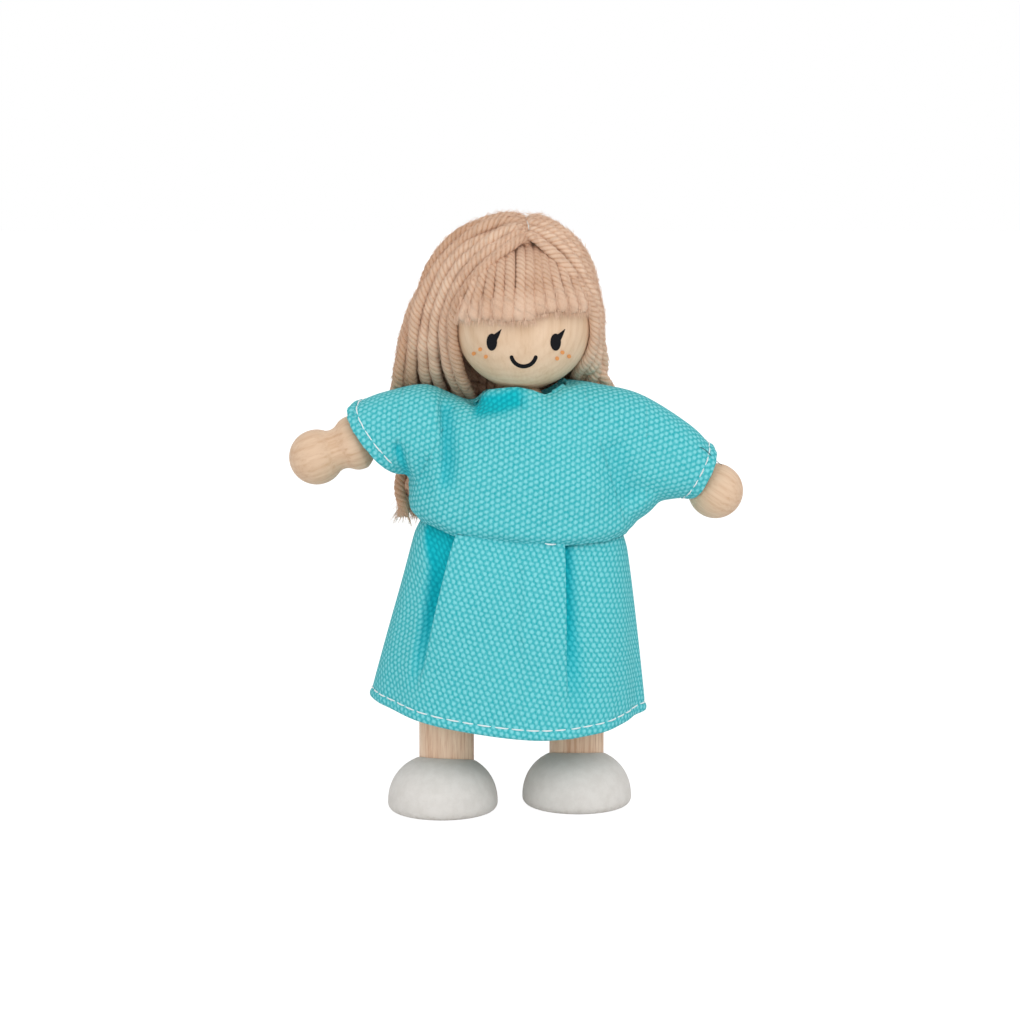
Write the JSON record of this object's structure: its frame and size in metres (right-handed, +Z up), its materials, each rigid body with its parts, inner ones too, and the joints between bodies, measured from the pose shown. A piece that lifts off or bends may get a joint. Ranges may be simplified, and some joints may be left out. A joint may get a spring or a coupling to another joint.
{
  "type": "dollhouse figure",
  "caption": "Wooden dollhouse doll with ball head and hands, yarn hair, a turquoise canvas dress and strung, bendable arms and legs on half-ball feet.",
  "frame": {"origin": "on the floor under the middle of the figure's box, between its feet", "axes": "+Z up along the standing figure; the figure faces -Y; its own right hand is towards -X"},
  "size_m": [0.0986, 0.044, 0.1298],
  "materials": {
    "wood": "bare sanded maple",
    "paint": "matte off-white paint",
    "elastic": "covered round elastic",
    "yarn": "plied matte yarn",
    "canvas": "plain-weave canvas",
    "tape": "hook and loop tape"
  },
  "bodies": {
    "torso": {"torso_block": "wood", "arm_cord": "elastic", "right_leg_cord": "elastic", "left_leg_cord": "elastic", "neck_cord": "elastic", "dress_top": "canvas", "dress_skirt": "canvas", "dress_back_closure": "tape"},
    "neck": {"neck_bead": "wood"},
    "head": {"head_ball": "wood", "hair_fringe": "yarn", "hair_right_side": "yarn", "hair_left_side": "yarn"},
    "right_shoulder": {"right_shoulder_bead": "wood"},
    "right_upper_arm": {"right_upper_arm": "wood", "right_elbow_bead": "wood"},
    "right_forearm": {"right_forearm_hand": "wood"},
    "right_hip": {"right_hip_bead": "wood"},
    "right_thigh": {"right_thigh": "wood", "right_knee_bead": "wood"},
    "right_shin": {"right_shin": "wood", "right_foot": "paint"},
    "left_shoulder": {"left_shoulder_bead": "wood"},
    "left_upper_arm": {"left_upper_arm": "wood", "left_elbow_bead": "wood"},
    "left_forearm": {"left_forearm_hand": "wood"},
    "left_hip": {"left_hip_bead": "wood"},
    "left_thigh": {"left_thigh": "wood", "left_knee_bead": "wood"},
    "left_shin": {"left_shin": "wood", "left_foot": "paint"}
  },
  "joints": [
    {"name": "head_turn", "type": "hinge", "parent": "torso", "child": "neck", "pos_m": [0.00103, 0.00192, 0.08854], "axis": [0, 0, 1], "range_deg": [-60, 60], "deforming": ["hair_right_side", "hair_left_side", "neck_cord"]},
    {"name": "head_nod", "type": "hinge", "parent": "neck", "child": "head", "pos_m": [0.00103, 0.00192, 0.08854], "axis": [1, 0, 0], "range_deg": [-20, 25]},
    {"name": "right_shoulder_sweep", "type": "hinge", "parent": "torso", "child": "right_shoulder", "pos_m": [-0.01447, 0.00192, 0.08154], "axis": [0, 0, 1], "range_deg": [-35, 35], "deforming": ["dress_top", "arm_cord"]},
    {"name": "right_shoulder_raise", "type": "hinge", "parent": "right_shoulder", "child": "right_upper_arm", "pos_m": [-0.01447, 0.00192, 0.08154], "axis": [0, 1, 0], "range_deg": [-57, 30]},
    {"name": "right_elbow", "type": "hinge", "parent": "right_upper_arm", "child": "right_forearm", "pos_m": [-0.02845, 0.00192, 0.08229], "axis": [0, -1, 0], "range_deg": [-23, 56]},
    {"name": "right_hip_swing", "type": "hinge", "parent": "torso", "child": "right_hip", "pos_m": [-0.01327, 0.00192, 0.04804], "axis": [-1, 0, 0], "range_deg": [-32, 77], "deforming": ["dress_skirt", "right_leg_cord"]},
    {"name": "right_hip_splay", "type": "hinge", "parent": "right_hip", "child": "right_thigh", "pos_m": [-0.01327, 0.00192, 0.04804], "axis": [0, 1, 0], "range_deg": [-2, 14.8]},
    {"name": "right_knee", "type": "hinge", "parent": "right_thigh", "child": "right_shin", "pos_m": [-0.01526, -0.00083, 0.0263], "axis": [1, 0, 0], "range_deg": [-17, 73]},
    {"name": "left_shoulder_sweep", "type": "hinge", "parent": "torso", "child": "left_shoulder", "pos_m": [0.01653, 0.00192, 0.08154], "axis": [0, 0, -1], "range_deg": [-35, 35]},
    {"name": "left_shoulder_raise", "type": "hinge", "parent": "left_shoulder", "child": "left_upper_arm", "pos_m": [0.01653, 0.00192, 0.08154], "axis": [0, -1, 0], "range_deg": [-41, 47]},
    {"name": "left_elbow", "type": "hinge", "parent": "left_upper_arm", "child": "left_forearm", "pos_m": [0.03013, 0.00192, 0.0782], "axis": [0, 1, 0], "range_deg": [-20, 59]},
    {"name": "left_hip_swing", "type": "hinge", "parent": "torso", "child": "left_hip", "pos_m": [0.01533, 0.00192, 0.04804], "axis": [-1, 0, 0], "range_deg": [-17, 92], "deforming": ["left_leg_cord"]},
    {"name": "left_hip_splay", "type": "hinge", "parent": "left_hip", "child": "left_thigh", "pos_m": [0.01533, 0.00192, 0.04804], "axis": [0, -1, 0], "range_deg": [-2, 25]},
    {"name": "left_knee", "type": "hinge", "parent": "left_thigh", "child": "left_shin", "pos_m": [0.01334, 0.00466, 0.0263], "axis": [1, 0, 0], "range_deg": [-3, 87]}
  ]
}
